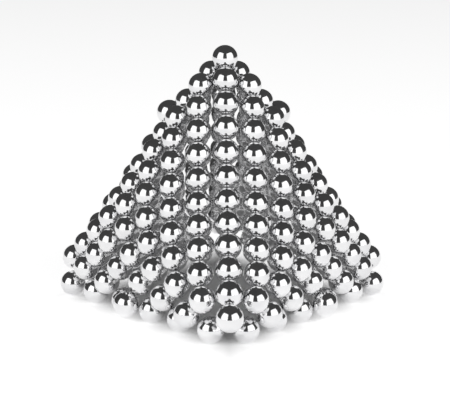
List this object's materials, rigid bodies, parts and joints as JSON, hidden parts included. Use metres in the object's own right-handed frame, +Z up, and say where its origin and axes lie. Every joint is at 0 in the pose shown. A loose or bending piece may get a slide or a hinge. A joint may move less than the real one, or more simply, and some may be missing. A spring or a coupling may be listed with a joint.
{
  "type": "magnetic desk sculpture",
  "caption": "Hollow four-cornered pyramid built from equal polished magnetic balls, with ridges, draped sheets and loose balls that pull off.",
  "frame": {"origin": "middle of the sculpture's box at ground level", "axes": "+Z up, -Y towards the front ridge, +X to the viewer's right"},
  "size_m": [0.0638, 0.0768, 0.0502],
  "materials": {
    "ball_metal": "polished"
  },
  "bodies": {
    "standing_sheets": {"front_ridge_middle": "ball_metal", "front_ridge_lower": "ball_metal", "back_ridge_upper": "ball_metal", "back_ridge_lower": "ball_metal", "front_left_column_1_upper": "ball_metal", "front_left_column_1_lower": "ball_metal", "front_left_column_2_upper": "ball_metal", "front_left_column_2_lower": "ball_metal", "front_left_column_3_upper": "ball_metal", "front_left_column_3_lower": "ball_metal", "front_left_column_4_upper": "ball_metal", "front_left_column_4_lower": "ball_metal", "front_left_column_5": "ball_metal", "front_left_column_6": "ball_metal", "front_left_column_7": "ball_metal", "front_left_corner": "ball_metal", "front_right_column_1_upper": "ball_metal", "front_right_column_1_lower": "ball_metal", "front_right_column_2_upper": "ball_metal", "front_right_column_2_lower": "ball_metal", "front_right_column_3_upper": "ball_metal", "front_right_column_3_lower": "ball_metal", "front_right_column_4_upper": "ball_metal", "front_right_column_4_lower": "ball_metal", "front_right_column_5": "ball_metal", "front_right_column_6": "ball_metal", "front_right_column_7": "ball_metal", "front_right_corner": "ball_metal", "back_left_column_1": "ball_metal", "back_left_column_2": "ball_metal", "back_left_column_3": "ball_metal", "back_left_column_4": "ball_metal", "back_left_column_5": "ball_metal", "back_left_column_6": "ball_metal", "back_right_column_1": "ball_metal", "back_right_column_2": "ball_metal", "back_right_column_3": "ball_metal", "back_right_column_4": "ball_metal", "back_right_column_5": "ball_metal", "back_right_column_6": "ball_metal"},
    "apex_ball_body": {"apex_ball": "ball_metal"},
    "front_ridge_upper_body": {"front_ridge_upper": "ball_metal"},
    "front_left_edge_1_body": {"front_left_edge_1": "ball_metal"},
    "front_right_edge_1_body": {"front_right_edge_1": "ball_metal"},
    "front_left_edge_2_body": {"front_left_edge_2": "ball_metal"},
    "front_right_edge_2_body": {"front_right_edge_2": "ball_metal"},
    "front_left_edge_3_body": {"front_left_edge_3": "ball_metal"},
    "front_right_edge_3_body": {"front_right_edge_3": "ball_metal"},
    "front_left_edge_4_body": {"front_left_edge_4": "ball_metal"},
    "front_right_edge_4_body": {"front_right_edge_4": "ball_metal"},
    "front_left_edge_5_body": {"front_left_edge_5": "ball_metal"},
    "front_right_edge_5_body": {"front_right_edge_5": "ball_metal"}
  },
  "joints": [
    {"name": "apex_ball_pull_off", "type": "slide", "parent": "standing_sheets", "child": "apex_ball_body", "axis": [0, 0, 1], "range_m": [0, 0.008]},
    {"name": "front_ridge_upper_pull_off", "type": "slide", "parent": "standing_sheets", "child": "front_ridge_upper_body", "axis": [0, -0.8258, 0.5639], "range_m": [0, 0.008]},
    {"name": "front_left_edge_1_pull_off", "type": "slide", "parent": "standing_sheets", "child": "front_left_edge_1_body", "axis": [-0.7067, 0.5368, 0.4608], "range_m": [0, 0.008]},
    {"name": "front_right_edge_1_pull_off", "type": "slide", "parent": "standing_sheets", "child": "front_right_edge_1_body", "axis": [0.7067, 0.5368, 0.4608], "range_m": [0, 0.008]},
    {"name": "front_left_edge_2_pull_off", "type": "slide", "parent": "standing_sheets", "child": "front_left_edge_2_body", "axis": [-0.5089, 0.318, 0.7999], "range_m": [0, 0.008]},
    {"name": "front_right_edge_2_pull_off", "type": "slide", "parent": "standing_sheets", "child": "front_right_edge_2_body", "axis": [0.5089, 0.318, 0.7999], "range_m": [0, 0.008]},
    {"name": "front_left_edge_3_pull_off", "type": "slide", "parent": "standing_sheets", "child": "front_left_edge_3_body", "axis": [-0.9058, -0.049, 0.4209], "range_m": [0, 0.008]},
    {"name": "front_right_edge_3_pull_off", "type": "slide", "parent": "standing_sheets", "child": "front_right_edge_3_body", "axis": [0.9058, -0.049, 0.4209], "range_m": [0, 0.008]},
    {"name": "front_left_edge_4_pull_off", "type": "slide", "parent": "standing_sheets", "child": "front_left_edge_4_body", "axis": [-0.8243, -0.046, 0.5642], "range_m": [0, 0.008]},
    {"name": "front_right_edge_4_pull_off", "type": "slide", "parent": "standing_sheets", "child": "front_right_edge_4_body", "axis": [0.8243, -0.046, 0.5642], "range_m": [0, 0.008]},
    {"name": "front_left_edge_5_pull_off", "type": "slide", "parent": "standing_sheets", "child": "front_left_edge_5_body", "axis": [-0.6462, 0.6782, 0.3501], "range_m": [0, 0.008]},
    {"name": "front_right_edge_5_pull_off", "type": "slide", "parent": "standing_sheets", "child": "front_right_edge_5_body", "axis": [0.6462, 0.6782, 0.3501], "range_m": [0, 0.008]}
  ]
}
